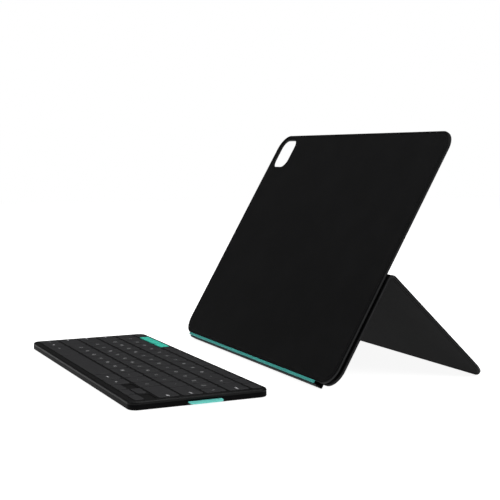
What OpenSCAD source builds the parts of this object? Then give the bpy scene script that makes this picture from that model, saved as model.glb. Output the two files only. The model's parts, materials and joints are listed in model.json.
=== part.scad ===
// Tablet keyboard case, standing open for typing.
// A folding stand holds the tablet; a separate thin wireless keyboard lies on the desk in front of it.
// Millimetres. +X runs to the right along the keyboard, +Y away from the typist and +Z up.
// The origin is on the desk, below the middle of the whole set.

/* [Tablet panel] */
// Width of the tablet panel
panel_w = 286; // [240:1:340]
// Height of the tablet panel, measured up its face
panel_h = 217.5; // [170:0.5:262]
// Radius of the panel's corners, seen from the front
panel_corner_r = 15; // [8:0.5:20]
// Thickness of every stiff sheet: its board and two skins
sheet_t = 2.8; // [2.2:0.1:3.6]
// Thickness of one skin
skin_t = 0.5; // [0.3:0.05:0.6]
// Width of the sealed edge that closes each sheet
edge_w = 1.4; // [1:0.1:2.5]
// Rounding of the sealed edge
edge_round = 0.8; // [0.5:0.1:1.1]
// Angle between the panel and the desk
panel_tilt = 60; // [52:1:68]

/* [Camera cut-out] */
// Width of the camera cut-out
camera_w = 29.5; // [20:0.5:38]
// Height of the camera cut-out
camera_h = 30; // [20:0.5:38]
// Corner radius of the camera cut-out
camera_corner_r = 8.5; // [4:0.5:10]
// Distance from the cut-out to the panel's top and left edges
camera_margin = 5; // [4:0.5:12]

/* [Spine] */
// Clear gap between the panel's back and the folded cover
cover_gap = 1.6; // [1.2:0.1:3]
// Thickness of the stiff strip in the spine
spine_core_t = 0.6; // [0.4:0.1:1]
// Thickness of each of the spine's two skins
spine_skin_t = 0.35; // [0.25:0.05:0.5]
// Share of the spine's width that the coloured lining covers
spine_lining_share = 0.2; // [0.1:0.05:0.9]
// Height of the soft webs that hang the spine below the sheets
spine_web_h = 1.85; // [1:0.05:3]
// Thickness of the soft webs
spine_web_t = 0.9; // [0.6:0.05:1.2]
// Clearance between the spine and the webs
spine_clearance = 0.25; // [0.2:0.05:0.5]

/* [Cover and kickstand] */
// Height of the fold above the cover's bottom edge
fold_height = 94.6; // [78:0.1:114]
// Half of the flexible length of the fold
fold_half = 3.2; // [2.5:0.1:4.5]
// Depth of the fold's turning axis behind the sheet's middle
fold_axis_depth = 1.3; // [0.6:0.1:1.4]
// Thickness of the flexible strip that joins the two boards
fold_strip_t = 0.6; // [0.4:0.1:0.8]

/* [Magnets] */
// Length of a bar magnet
magnet_l = 14; // [8:0.5:17]
// Width of a bar magnet
magnet_w = 4; // [3:0.5:5]
// Thickness of a bar magnet
magnet_t = 1; // [0.6:0.1:1.1]
// Clearance around a magnet in its pocket
magnet_clearance = 0.15; // [0.1:0.05:0.3]

/* [Keyboard] */
// Clear desk between the keyboard and the panel's bottom edge
keyboard_gap = 43.5; // [35:0.5:60]
// Sideways place of the keyboard's middle
keyboard_x = -3; // [-5:0.5:0]
// Corner radius of the keyboard, seen from above
keyboard_corner_r = 7; // [6:0.5:11]
// Height of the keyboard's case
case_h = 6.2; // [5.6:0.1:7.5]
// Height of the lower shell's side wall
shell_h = 3.9; // [3.5:0.1:4.2]
// Thickness of the case's side walls
wall_t = 1.4; // [1:0.1:1.7]
// Thickness of the case's floor
floor_t = 1; // [0.8:0.1:1.1]
// Thickness of the web between the keys
web_t = 0.9; // [0.7:0.1:1.1]
// Rounding along the case's top edge
case_top_round = 1.5; // [0.8:0.1:1.8]
// Rounding along the case's bottom edge
case_bottom_round = 0.9; // [0.5:0.1:1]
// Height of the rubber feet
foot_h = 0.5; // [0.5:0.1:1.2]

/* [Keys] */
// Pitch of the keys along a row
key_pitch = 18.8; // [15.6:0.1:22]
// Pitch of the main rows
row_pitch = 18; // [15:0.1:21.6]
// Pitch of the narrow top row
top_row_pitch = 10.4; // [9:0.1:12]
// Gap between neighbouring keys
key_gap = 1.7; // [1.5:0.1:2.4]
// Gap between the two half-depth arrow keys
half_key_gap = 0.9; // [0.9:0.1:1.5]
// Clearance between a key cap and its opening
key_clearance = 0.3; // [0.2:0.05:0.4]
// Corner radius of a key cap
key_corner_r = 1.4; // [0.8:0.1:2]
// How far the caps stand above the web
key_proud = 0.5; // [0.2:0.1:1]
// Thickness of a key cap
cap_t = 1.3; // [1:0.1:1.4]
// Travel of a key
key_travel = 1; // [0.6:0.05:1.1]
// Width of the case beyond the keys at each side
side_margin = 4.8; // [3:0.1:7]
// Depth of the case in front of the keys
front_margin = 4.9; // [3:0.1:8]
// Depth of the case behind the keys
back_margin = 3.6; // [2.6:0.1:6]
// Width of the tick key, in key pitches
tick_units = 0.7; // [0.6:0.05:0.9]
// Width of the tab key, in key pitches
tab_units = 1.2; // [1:0.05:1.4]
// Width of the caps lock key, in key pitches
caps_units = 1.45; // [1.2:0.05:1.7]
// Width of the left shift key, in key pitches
shift_units = 1.97; // [1.5:0.01:2.2]
// Width of the space bar, in key pitches
space_units = 4.8; // [4:0.1:5]
// Width of an arrow key, in key pitches
arrow_units = 0.98; // [0.85:0.01:1]

/* [Battery drawer] */
// Distance from the keyboard's front edge to the drawer's middle
drawer_from_front = 56; // [46:1:68]
// Diameter of a coin cell
cell_d = 20; // [16:0.5:23]
// Thickness of a coin cell
cell_t = 1.6; // [1:0.1:1.6]
// Distance between the middles of the two cells
cell_pitch = 23; // [21:0.5:28]
// Rim of the drawer around the cells
drawer_rim = 3.5; // [2.5:0.1:4.5]
// Sliding clearance around the drawer
drawer_clearance = 0.15; // [0.1:0.05:0.25]
// Length of the pull tab along the keyboard's side
tab_len = 26; // [14:0.5:26]
// How far the pull tab stands out
tab_reach = 5.2; // [3:0.1:6]
// Thickness of the pull tab
tab_t = 0.9; // [0.6:0.1:1]
// Downward slope of the pull tab
tab_slope = 6; // [0:1:8]

/* [Hidden] */
$fn = 64;
eps = 0.01;

black_skin = [0.09, 0.09, 0.095];
board_grey = [0.42, 0.42, 0.43];
edge_grey = [0.2, 0.2, 0.21];
teal = [0.33, 0.75, 0.69];
metal = [0.72, 0.72, 0.74];
case_black = [0.11, 0.11, 0.12];
cap_black = [0.2, 0.2, 0.21];

// Sheets
core_t = sheet_t - 2 * skin_t;
cover_back = -2 * sheet_t - cover_gap;
cover_mid = cover_back + sheet_t / 2;
magnet_pocket_l = magnet_l + 2 * magnet_clearance;
magnet_pocket_w = magnet_w + 2 * magnet_clearance;

// Spine: a flat strip across the bottom edges of the panel and the cover, hung from two soft webs
spine_t = spine_core_t + 2 * spine_skin_t;
spine_inset = 0.3;
spine_w = -cover_back - 2 * spine_inset;
spine_end_gap = 4;
spine_len = panel_w - 2 * panel_corner_r - 2 * spine_end_gap;
spine_top = -spine_web_h - spine_clearance;
spine_bottom = spine_top - spine_t;
spine_web_grip = 0.3;
spine_web_depth = edge_round + spine_web_grip;
panel_z = (-cover_back - spine_inset) * cos(panel_tilt) - spine_bottom * sin(panel_tilt);

// Fold: the turning axis, the bend at rest and the kickstand flap below it
cover_len = fold_height - fold_half;
flap_len = panel_h - cover_len - 2 * fold_half;
axis_n = cover_mid - fold_axis_depth;
axis_y = fold_height * cos(panel_tilt) - axis_n * sin(panel_tilt);
axis_z = panel_z + fold_height * sin(panel_tilt) + axis_n * cos(panel_tilt);
flap_tip = fold_half + flap_len;
edge_flat = sheet_t / 2 - edge_round;
tip_reach = flap_tip - edge_round;
tip_drop = fold_axis_depth - edge_flat;
flap_slope = asin((axis_z - edge_round) / sqrt(tip_reach ^ 2 + tip_drop ^ 2)) + atan2(tip_drop, tip_reach);
fold_angle = 180 - panel_tilt - flap_slope;
bend_r = fold_half * tan(fold_angle / 2) + fold_axis_depth;
bend_turn = 180 - fold_angle;
desk_back = axis_y + tip_reach * cos(flap_slope) + (fold_axis_depth + edge_flat) * sin(flap_slope)
    + edge_round;

// Keyboard
units = 14;
keyboard_w = units * key_pitch - key_gap + 2 * side_margin;
keyboard_d = top_row_pitch + 5 * row_pitch - key_gap + front_margin + back_margin;
desk_front = -keyboard_gap - keyboard_d;
keyboard_y = -keyboard_gap - keyboard_d / 2;
frame_y = -(desk_front + desk_back) / 2;
floor_top = foot_h + floor_t;
parting_z = foot_h + shell_h;
case_top = foot_h + case_h;
cap_top = case_top + key_proud;
cap_bottom = cap_top - cap_t;
membrane_t = 0.2;
plate_t = 0.3;
travel_clearance = 0.15;
membrane_top = cap_bottom - key_travel - travel_clearance;
plate_bottom = membrane_top - membrane_t - plate_t;
plate_inset = wall_t + 0.4;
opening_corner_r = key_corner_r + key_clearance;

// Key rows, each a list of widths in key pitches; the last key of a row fills what is left
function total(v, n) = n <= 0 ? 0 : v[n - 1] + total(v, n - 1);
function ones(n) = [for (i = [1 : n]) 1];
function filled(v) = concat(v, [units - total(v, len(v))]);
bottom_left = [0.75, 1, 1, 1.35, space_units, 1.15];
arrows = [arrow_units, arrow_units, arrow_units];
ROWS = [ones(units),
    filled(concat([tick_units], ones(12))),
    filled(concat([tab_units], ones(12))),
    filled(concat([caps_units], ones(11))),
    filled(concat([shift_units], ones(10))),
    concat(bottom_left, [units - total(bottom_left, 6) - 3 * arrow_units], arrows)];
keys_left = -units * key_pitch / 2;
keys_back = keyboard_d / 2 - back_margin + key_gap / 2;
half_key_d = (row_pitch - key_gap - half_key_gap) / 2;
function row_d(row) = row == 0 ? top_row_pitch : row_pitch;
function row_y(row) = keys_back - (row == 0 ? top_row_pitch / 2 : top_row_pitch + (row - 0.5) * row_pitch);
function key_x(row, i) = keys_left + (total(ROWS[row], i) + ROWS[row][i] / 2) * key_pitch;
function key_w(row, i) = ROWS[row][i] * key_pitch - key_gap;
function key_d(row, half) = half == 0 ? row_d(row) - key_gap : half_key_d;
function key_y(row, half) = row_y(row) + half * (row_d(row) - key_gap - half_key_d) / 2;

// Every key as [row, place in the row, half]: half is 1 for a back half key and -1 for a front half key
ARROWS = [[5, 7, -1], [5, 8, 1], [5, 8, -1], [5, 9, -1]];
EMPTY_RECESSES = [[5, 7, 1], [5, 9, 1]];
FULL_KEYS = [for (row = [0 : 5]) for (i = [0 : len(ROWS[row]) - (row == 5 ? 4 : 1)]) [row, i, 0]];
ALL_KEYS = concat(FULL_KEYS, ARROWS);

// Battery drawer
drawer_y = -keyboard_d / 2 + drawer_from_front;
tab_side_rim = 0.5;
drawer_w = max(cell_d + 2 * drawer_rim, tab_len + 2 * tab_side_rim);
drawer_len = wall_t + cell_pitch + cell_d + 2 * drawer_rim;
drawer_floor_t = 0.4;
drawer_bottom = floor_top + drawer_clearance / 2;
cell_clearance = 0.05;
drawer_top = drawer_bottom + drawer_floor_t + cell_t + cell_clearance;
tab_cover_t = 0.25;
tab_root_z = drawer_top - tab_t - tab_cover_t;
cell_places = [for (i = [0, 1]) keyboard_w / 2 - wall_t - drawer_rim - cell_d / 2 - i * cell_pitch];

// Screws
boss_r = 2.2;
boss_hole_clearance = 0.05;
screw_r = 0.8;
screw_head_r = 1.5;
boss_x = keyboard_w / 2 - 14;
boss_y = keyboard_d / 2 - 7;
rib_y = boss_y * 0.55;
rib_l = 40;
rib_t = 1;
BOSSES = [for (x = [-boss_x, 0, boss_x]) for (y = [-boss_y, boss_y]) [x, y]];

// ---- Frames of reference ----

module on_desk() translate([0, frame_y, 0]) children();
// x to the right, y up the panel from its bottom edge, z out of its front face
module on_panel() on_desk() translate([0, 0, panel_z]) rotate([panel_tilt, 0, 0]) children();
// The cover behind the panel: z = 0 is the middle of its thickness
module on_cover() on_panel() translate([0, 0, cover_mid]) children();
// The flap below the fold: y runs down it from the turning axis, z = 0 is the middle of its thickness
module on_flap() on_desk() translate([0, axis_y, axis_z]) rotate([-flap_slope, 0, 0])
    translate([0, 0, fold_axis_depth]) children();
module on_keyboard() on_desk() translate([keyboard_x, keyboard_y, 0]) children();

// ---- Outlines and edges ----

module round_rect(w, h, r) {
    square([w - 2 * r, h], center = true);
    square([w, h - 2 * r], center = true);
    for (sx = [-1, 1], sy = [-1, 1]) translate([sx * (w / 2 - r), sy * (h / 2 - r)]) circle(r);
}

// A sheet with two round corners at y = 0 and a straight end at y = length, its edges drawn in by inset
module tongue(w, length, r, inset = 0) {
    half = w / 2 - inset;
    translate([-half, r]) square([2 * half, length - r]);
    translate([-w / 2 + r, inset]) square([w - 2 * r, r]);
    for (s = [-1, 1]) translate([s * (w / 2 - r), r]) circle(r - inset);
}

// Sweeps a profile round a rounded rectangle; the profile's x is measured from the corner centres
module round_rect_sweep(w, h, r) {
    for (a = [0, 90, 180, 270]) {
        long = a % 180 == 0 ? h : w;
        out = a % 180 == 0 ? w : h;
        rotate(a) translate([out / 2 - r, 0, 0])
            rotate([90, 0, 0]) linear_extrude(long - 2 * r, center = true) children();
        rotate(a) translate([out / 2 - r, long / 2 - r, 0]) rotate_extrude(angle = 90) children();
    }
}

// The same sweep round the two sides and the round-cornered end of a tongue
module tongue_sweep(w, length, r) {
    for (s = [0, 1]) mirror([s, 0, 0]) {
        translate([w / 2 - r, length, 0]) rotate([90, 0, 0]) linear_extrude(length - r) children();
        translate([w / 2 - r, r, 0]) rotate(270) rotate_extrude(angle = 90) children();
    }
    translate([0, r, 0]) rotate(270) rotate([90, 0, 0]) linear_extrude(w - 2 * r, center = true) children();
}

// Cross-section of a sealed sheet edge with its two outer corners rounded
module edge_profile(r) {
    translate([r - edge_w, -sheet_t / 2]) square([edge_w - edge_round, sheet_t]);
    translate([r - edge_round, -edge_flat]) square([edge_round, 2 * edge_flat]);
    for (s = [0, 1]) mirror([0, s]) translate([0, -sheet_t / 2]) quarter_disc(r, edge_round);
}

module slab(z, t) translate([0, 0, z]) linear_extrude(t) children();

// ---- Tablet panel ----

camera_x = -panel_w / 2 + camera_margin + camera_w / 2;
camera_y = panel_h - camera_margin - camera_h / 2;
panel_magnet_share = 0.3;
panel_magnet_x = panel_w * panel_magnet_share;
panel_magnet_rows = 5;
panel_magnet_pitch = magnet_w * 3;

module camera_outline(grow = 0) translate([camera_x, camera_y])
    round_rect(camera_w + 2 * grow, camera_h + 2 * grow, camera_corner_r + grow);

module panel_outline() difference() {
    translate([0, panel_h / 2])
        round_rect(panel_w - 2 * edge_w, panel_h - 2 * edge_w, panel_corner_r - edge_w);
    camera_outline(edge_w);
}

module panel_magnet_places()
    for (s = [-1, 1], i = [0 : panel_magnet_rows - 1])
        translate([s * panel_magnet_x, panel_h / 2 + (i - (panel_magnet_rows - 1) / 2) * panel_magnet_pitch])
            children();

module panel_core() color(board_grey) on_panel() slab(-sheet_t + skin_t, core_t) difference() {
    panel_outline();
    panel_magnet_places() square([magnet_pocket_l, magnet_pocket_w], center = true);
}

module panel_front_lining() color(black_skin) on_panel() slab(-skin_t, skin_t) panel_outline();

module panel_back_skin() color(black_skin) on_panel() slab(-sheet_t, skin_t) panel_outline();

module panel_edge() color(edge_grey) on_panel() translate([0, panel_h / 2, -sheet_t / 2])
    round_rect_sweep(panel_w, panel_h, panel_corner_r) edge_profile(panel_corner_r);

module camera_edge() color(edge_grey) on_panel() slab(-sheet_t, sheet_t) difference() {
    camera_outline(edge_w);
    camera_outline();
}

module panel_magnets() color(metal) on_panel() slab(-sheet_t / 2 - magnet_t / 2, magnet_t)
    panel_magnet_places() square([magnet_l, magnet_w], center = true);

// ---- Spine ----

module spine_strip(z, t, from, width) on_panel()
    translate([-spine_len / 2, z, -from - width]) cube([spine_len, t, width]);

// The webs touch the flat of each sheet's bottom edge
module spine_front_web() color(teal)
    spine_strip(-spine_web_h, spine_web_h, spine_web_depth - spine_web_t, spine_web_t);

module spine_rear_web() color(black_skin)
    spine_strip(-spine_web_h, spine_web_h, -cover_back - spine_web_depth, spine_web_t);

module spine_core() color(board_grey)
    spine_strip(spine_bottom + spine_skin_t, spine_core_t, spine_inset, spine_w);

module spine_lining() color(teal)
    spine_strip(spine_bottom, spine_skin_t, spine_inset, spine_w * spine_lining_share);

module spine_skin() color(black_skin) {
    spine_strip(spine_bottom + spine_skin_t + spine_core_t, spine_skin_t, spine_inset, spine_w);
    spine_strip(spine_bottom, spine_skin_t, spine_inset + spine_w * spine_lining_share,
        spine_w * (1 - spine_lining_share));
}

// ---- Cover behind the panel ----

cover_magnet_pitch = panel_w * 0.24;
cover_magnet_x = [for (i = [0 : 3]) (i - 1.5) * cover_magnet_pitch];
cover_magnet_y = cover_len * 0.6;
flap_magnet_from_tip = 14;
flap_magnet_y = flap_tip - flap_magnet_from_tip;

module cover_sheet(z, t, inset = edge_w) on_cover() slab(z, t)
    tongue(panel_w, cover_len, panel_corner_r, inset);

module magnet_row(y, w, l) for (x = cover_magnet_x) translate([x, y]) square([l, w], center = true);

module cover_core() color(board_grey) on_cover() slab(-core_t / 2, core_t) difference() {
    tongue(panel_w, cover_len, panel_corner_r, edge_w);
    magnet_row(cover_magnet_y, magnet_pocket_w, magnet_pocket_l);
}

module cover_lining() color(black_skin) cover_sheet(-sheet_t / 2, skin_t);

module cover_outer_skin() color(black_skin) cover_sheet(sheet_t / 2 - skin_t, skin_t);

module cover_edge() color(edge_grey) on_cover()
    tongue_sweep(panel_w, cover_len, panel_corner_r) edge_profile(panel_corner_r);

module cover_magnets() color(metal) on_cover() slab(-magnet_t / 2, magnet_t)
    magnet_row(cover_magnet_y, magnet_w, magnet_l);

// ---- Fold ----

// A curved band of the bend between two radii, drawn from the cover's end to the flap's start
module bend_band(inner, outer, width) {
    reach = 4 * outer;
    start = panel_tilt + 90;
    on_desk() translate([-width / 2, axis_y, axis_z])
        rotate([90, 0, 90]) translate(bend_centre()) linear_extrude(width) intersection() {
            difference() {
                circle(outer);
                circle(inner);
            }
            polygon(concat([[0, 0]], [for (k = [0 : 4])
                reach * [cos(start - bend_turn * k / 4), sin(start - bend_turn * k / 4)]]));
        }
}

// Centre of the bend, from the turning axis, in the y-z plane
function bend_centre() = -fold_half * [cos(panel_tilt), sin(panel_tilt)]
    + (bend_r - fold_axis_depth) * [sin(panel_tilt), -cos(panel_tilt)];

module fold_strip() color(board_grey)
    bend_band(bend_r - fold_strip_t / 2, bend_r + fold_strip_t / 2, panel_w - 2 * edge_w);

module fold_lining() color(black_skin)
    bend_band(bend_r - sheet_t / 2, bend_r - sheet_t / 2 + skin_t, panel_w);

module fold_outer_skin() color(black_skin)
    bend_band(bend_r + sheet_t / 2 - skin_t, bend_r + sheet_t / 2, panel_w);

// ---- Kickstand flap ----

// Turns a tongue drawn from its round end into the flap, which starts at the fold and ends at its round tip
module from_tip() translate([0, flap_tip, 0]) mirror([0, 1, 0]) children();

module flap_core() color(board_grey) on_flap() slab(-core_t / 2, core_t) difference() {
    from_tip() tongue(panel_w, flap_len, panel_corner_r, edge_w);
    magnet_row(flap_magnet_y, magnet_pocket_w, magnet_pocket_l);
}

module flap_lining() color(black_skin) on_flap() slab(-sheet_t / 2, skin_t)
    from_tip() tongue(panel_w, flap_len, panel_corner_r, edge_w);

module flap_outer_skin() color(black_skin) on_flap() slab(sheet_t / 2 - skin_t, skin_t)
    from_tip() tongue(panel_w, flap_len, panel_corner_r, edge_w);

module flap_edge() color(edge_grey) on_flap() from_tip()
    tongue_sweep(panel_w, flap_len, panel_corner_r) edge_profile(panel_corner_r);

module flap_magnets() color(metal) on_flap() slab(-magnet_t / 2, magnet_t)
    magnet_row(flap_magnet_y, magnet_w, magnet_l);

// ---- Keyboard case ----

// A plate with its lower outer edge rounded, standing from z = 0 to z = h
module rounded_pan(w, d, r, h, round) {
    linear_extrude(h) round_rect(w - 2 * round, d - 2 * round, r - round);
    round_rect_sweep(w, d, r) {
        translate([r - round, round]) square([round, h - round]);
        quarter_disc(r, round);
    }
}

// The lower outer quarter of a disc that touches x = edge and y = 0
module quarter_disc(edge, round) intersection() {
    translate([edge - round, round]) circle(round);
    translate([edge - round, 0]) square(round);
}

module drawer_slot(clearance)
    translate([keyboard_w / 2 - drawer_len - clearance, drawer_y - drawer_w / 2 - clearance, floor_top])
        cube([drawer_len + 2 * clearance + 1, drawer_w + 2 * clearance, drawer_top - floor_top + clearance]);

module keyboard_lower_shell() color(case_black) on_keyboard() {
    difference() {
        translate([0, 0, foot_h])
            rounded_pan(keyboard_w, keyboard_d, keyboard_corner_r, shell_h, case_bottom_round);
        slab(floor_top, shell_h)
            round_rect(keyboard_w - 2 * wall_t, keyboard_d - 2 * wall_t, keyboard_corner_r - wall_t);
        drawer_slot(drawer_clearance);
        for (b = BOSSES) translate([b.x, b.y, 0]) cylinder(h = floor_top + 1, r = screw_r + boss_hole_clearance);
        for (b = BOSSES) translate([b.x, b.y, 0]) cylinder(h = foot_h + floor_t / 2, r = screw_head_r + 0.1);
    }
    for (b = BOSSES) translate([b.x, b.y, 0]) difference() {
        translate([0, 0, floor_top - eps]) cylinder(h = plate_bottom - floor_top + eps, r = boss_r);
        cylinder(h = cap_top, r = screw_r + boss_hole_clearance);
    }
    for (y = [-rib_y, rib_y], x = [-keyboard_w / 4, 0])
        translate([x - rib_l / 2, y, floor_top - eps]) cube([rib_l, rib_t, plate_bottom - floor_top + eps]);
}

module key_opening(key) {
    row = key[0];
    translate([key_x(row, key[1]), key_y(row, key[2])])
        round_rect(key_w(row, key[1]) + 2 * key_clearance, key_d(row, key[2]) + 2 * key_clearance,
            opening_corner_r);
}

module keyboard_top_frame() color(case_black) on_keyboard() difference() {
    translate([0, 0, case_top]) mirror([0, 0, 1])
        rounded_pan(keyboard_w, keyboard_d, keyboard_corner_r, case_top - parting_z, case_top_round);
    slab(parting_z - 1, case_top - web_t - parting_z + 1)
        round_rect(keyboard_w - 2 * wall_t, keyboard_d - 2 * wall_t, keyboard_corner_r - wall_t);
    slab(parting_z, case_h) for (key = ALL_KEYS) key_opening(key);
    slab(case_top - web_t / 2, web_t) for (key = EMPTY_RECESSES) key_opening(key);
}

module key_support_plate() color(metal) on_keyboard() slab(plate_bottom, plate_t) difference() {
    round_rect(keyboard_w - 2 * plate_inset, keyboard_d - 2 * plate_inset, keyboard_corner_r - plate_inset);
    for (b = BOSSES) translate(b) circle(screw_r + 0.1);
}

module key_membrane() color([0.75, 0.72, 0.6]) on_keyboard() slab(plate_bottom + plate_t, membrane_t)
    difference() {
        round_rect(keyboard_w - 2 * plate_inset, keyboard_d - 2 * plate_inset, keyboard_corner_r - plate_inset);
        for (b = BOSSES) translate(b) circle(boss_r);
    }

dome_r = 2.6;
dome_top_r = 1.5;
dome_h = cap_bottom - membrane_top;

module key_domes() color([0.85, 0.86, 0.84]) on_keyboard()
    for (key = ALL_KEYS) translate([key_x(key[0], key[1]), key_y(key[0], key[2]), membrane_top])
        cylinder(h = dome_h, r1 = dome_r, r2 = dome_top_r, $fn = 24);

scissor_bar = 0.7;
scissor_t = 0.5;
scissor_w = 14;
scissor_d = 10;
scissor_inset = [2, 0.6];

// A scissor frame round the dome: its outside fits inside the cap
module scissor_frame(w, d) difference() {
    square([w, d], center = true);
    square([w - 2 * scissor_bar, d - 2 * scissor_bar], center = true);
}

module key_scissors() color([0.55, 0.55, 0.56]) on_keyboard()
    slab(membrane_top + (dome_h - scissor_t) / 2, scissor_t)
        for (key = ALL_KEYS) translate([key_x(key[0], key[1]), key_y(key[0], key[2])])
            scissor_frame(min(key_w(key[0], key[1]) - scissor_inset.x, scissor_w),
                min(key_d(key[0], key[2]) - scissor_inset.y, scissor_d));

// ---- Electronics and battery ----

board_w = 46;
board_d = 18;
board_t = 0.8;
board_x = -keyboard_w / 4;

module controller_board() color([0.1, 0.35, 0.25]) on_keyboard() {
    translate([board_x - board_w / 2, -board_d / 2, floor_top + 0.2]) {
        cube([board_w, board_d, board_t]);
        translate([6, 5, board_t - eps]) cube([7, 7, 0.8]);
        translate([20, 4, board_t - eps]) cube([4, 5, 0.6]);
        translate([32, 3, board_t - eps]) cube([9, 12, 0.7]);
    }
}

contact_t = 0.2;
contact_w = 4;
contact_l = 2.6;
contact_gap = 0.9;

// Spring contacts in the case, inboard of the drawer
module battery_contacts() color([0.83, 0.7, 0.35]) on_keyboard()
    for (s = [-1, 1])
        translate([keyboard_w / 2 - drawer_len - contact_gap - contact_l,
            drawer_y + s * cell_d / 4 - contact_w / 2, floor_top]) {
            cube([contact_l, contact_w, contact_t]);
            cube([contact_t, contact_w, drawer_top - floor_top]);
        }

module cell_seats(grow, z, t)
    for (x = cell_places) translate([x, drawer_y, z]) cylinder(h = t, r = cell_d / 2 + grow);

module battery_drawer() color(case_black) on_keyboard() difference() {
    translate([keyboard_w / 2 - drawer_len, drawer_y - drawer_w / 2, drawer_bottom])
        cube([drawer_len, drawer_w, drawer_top - drawer_bottom]);
    cell_seats(2 * cell_clearance, drawer_bottom + drawer_floor_t, cell_t + 1);
    translate([keyboard_w / 2 - wall_t, drawer_y - tab_len / 2, tab_root_z])
        cube([wall_t + 1, tab_len, tab_t]);
}

module coin_cells() color(metal) on_keyboard() cell_seats(0, drawer_bottom + drawer_floor_t, cell_t);

tab_corner_r = 3;

module pull_tab() color(teal) on_keyboard() translate([keyboard_w / 2, drawer_y, 0]) intersection() {
    union() {
        translate([-wall_t, -tab_len / 2, tab_root_z]) cube([wall_t + eps, tab_len, tab_t]);
        translate([0, 0, tab_root_z]) rotate([90, 0, 0]) linear_extrude(tab_len, center = true)
            polygon([[0, 0], [0, tab_t], [tab_reach, tab_t - tab_reach * tan(tab_slope)],
                [tab_reach, -tab_reach * tan(tab_slope)]]);
    }
    linear_extrude(cap_top) translate([tab_reach - tab_len / 2, 0]) round_rect(tab_len, tab_len, tab_corner_r);
}

// ---- Small parts of the keyboard ----

foot_w = 6;
foot_l = 40;
foot_corner_r = 2.9;
foot_x = keyboard_w / 2 - 34;
foot_y = keyboard_d / 2 - 9;
keyboard_magnet_y = keyboard_d / 2 - 22;
keyboard_magnet_shares = [-0.38, -0.08, 0.14, 0.34];

module keyboard_magnets() color(metal) on_keyboard()
    slab(floor_top + 0.1, magnet_t)
        for (share = keyboard_magnet_shares) translate([share * keyboard_w, keyboard_magnet_y])
            square([magnet_l, magnet_w], center = true);

module keyboard_feet() color([0.16, 0.16, 0.165]) on_keyboard()
    linear_extrude(foot_h) for (sx = [-1, 1], sy = [-1, 1]) translate([sx * foot_x, sy * foot_y])
        round_rect(foot_l, foot_w, foot_corner_r);

module case_screws() color(metal) on_keyboard() for (b = BOSSES) translate([b.x, b.y, 0]) {
    translate([0, 0, foot_h + 0.1]) cylinder(h = floor_t / 2 - 0.1, r = screw_head_r);
    translate([0, 0, foot_h + 0.1]) cylinder(h = plate_bottom + plate_t - foot_h - 0.1, r = screw_r);
}

// ---- Key caps ----

module cap(row, i, half = 0) on_keyboard() translate([key_x(row, i), key_y(row, half), 0])
    slab(cap_bottom, cap_t) round_rect(key_w(row, i), key_d(row, half), key_corner_r);

module caps(row, from, to) for (i = [from : to]) cap(row, i);

module device_key_1() color(teal) cap(0, 1);
module device_key_2() color(teal) cap(0, 2);
module device_key_3() color(teal) cap(0, 3);
module function_keys() color(cap_black) {
    cap(0, 0);
    caps(0, 4, units - 1);
}
module number_keys() color(cap_black) caps(1, 0, 12);
module backspace_key() color(cap_black) cap(1, 13);
module tab_key() color(cap_black) cap(2, 0);
module upper_letter_keys() color(cap_black) caps(2, 1, 13);
module caps_lock_key() color(cap_black) cap(3, 0);
module home_letter_keys() color(cap_black) caps(3, 1, 11);
module enter_key() color(cap_black) cap(3, 12);
module left_shift_key() color(cap_black) cap(4, 0);
module lower_letter_keys() color(cap_black) caps(4, 1, 10);
module right_shift_key() color(cap_black) cap(4, 11);
module left_modifier_keys() color(cap_black) caps(5, 0, 3);
module space_bar() color(cap_black) cap(5, 4);
module right_command_key() color(cap_black) cap(5, 5);
module right_modifier_key() color(cap_black) cap(5, 6);
module left_arrow_key() color(cap_black) cap(5, 7, -1);
module up_arrow_key() color(cap_black) cap(5, 8, 1);
module down_arrow_key() color(cap_black) cap(5, 8, -1);
module right_arrow_key() color(cap_black) cap(5, 9, -1);

panel_core();
panel_front_lining();
panel_back_skin();
panel_edge();
camera_edge();
panel_magnets();
spine_front_web();
spine_core();
spine_lining();
spine_skin();
spine_rear_web();
cover_core();
cover_lining();
cover_outer_skin();
cover_edge();
cover_magnets();
fold_strip();
fold_lining();
fold_outer_skin();
flap_core();
flap_lining();
flap_outer_skin();
flap_edge();
flap_magnets();
keyboard_lower_shell();
keyboard_top_frame();
key_support_plate();
key_membrane();
key_domes();
key_scissors();
controller_board();
battery_contacts();
battery_drawer();
coin_cells();
pull_tab();
keyboard_magnets();
keyboard_feet();
case_screws();
device_key_1();
device_key_2();
device_key_3();
function_keys();
number_keys();
backspace_key();
tab_key();
upper_letter_keys();
caps_lock_key();
home_letter_keys();
enter_key();
left_shift_key();
lower_letter_keys();
right_shift_key();
left_modifier_keys();
space_bar();
right_command_key();
right_modifier_key();
left_arrow_key();
up_arrow_key();
down_arrow_key();
right_arrow_key();
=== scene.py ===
"""Looks of a tablet keyboard case: a folding stand with a kickstand flap, and its separate thin keyboard."""

import json
import logging
import math
from dataclasses import dataclass, field
from enum import Enum
from typing import Any, Callable, Iterable, Sequence

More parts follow.
